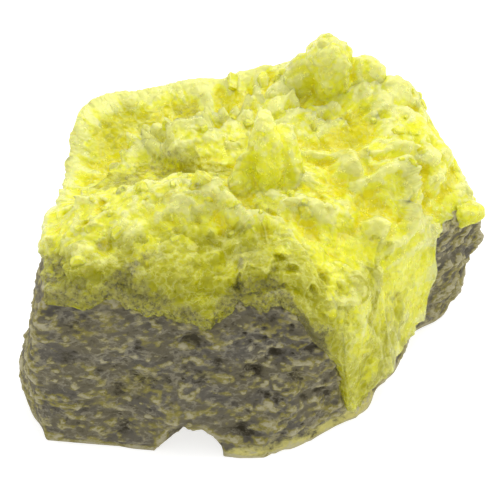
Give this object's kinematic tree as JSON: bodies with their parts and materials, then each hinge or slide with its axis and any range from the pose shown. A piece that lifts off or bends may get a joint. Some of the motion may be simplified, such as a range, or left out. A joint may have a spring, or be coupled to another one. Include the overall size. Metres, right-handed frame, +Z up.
{
  "type": "native sulfur crystal specimen on matrix rock",
  "caption": "Hand-sized block of grey volcanic matrix with a crust of intergrown yellow sulfur crystals over its top and one corner.",
  "frame": {"origin": "bottom centre of the specimen's bounding box, on the surface that it rests on", "axes": "+X along the longest side, towards the bare grey face on the right; +Y towards the back rim with the tallest crystals; +Z up, the shortest side"},
  "size_m": [0.0712, 0.0609, 0.0384],
  "materials": {
    "matrix": "rough porous grey-brown rock, stained yellow-green in streaks",
    "sulfur": "translucent lemon-yellow crystal faces with a resinous shine, pale at edges and golden in hollows"
  },
  "bodies": {
    "root": {"matrix_rock": "matrix", "sulfur_crust": "sulfur"}
  },
  "joints": []
}
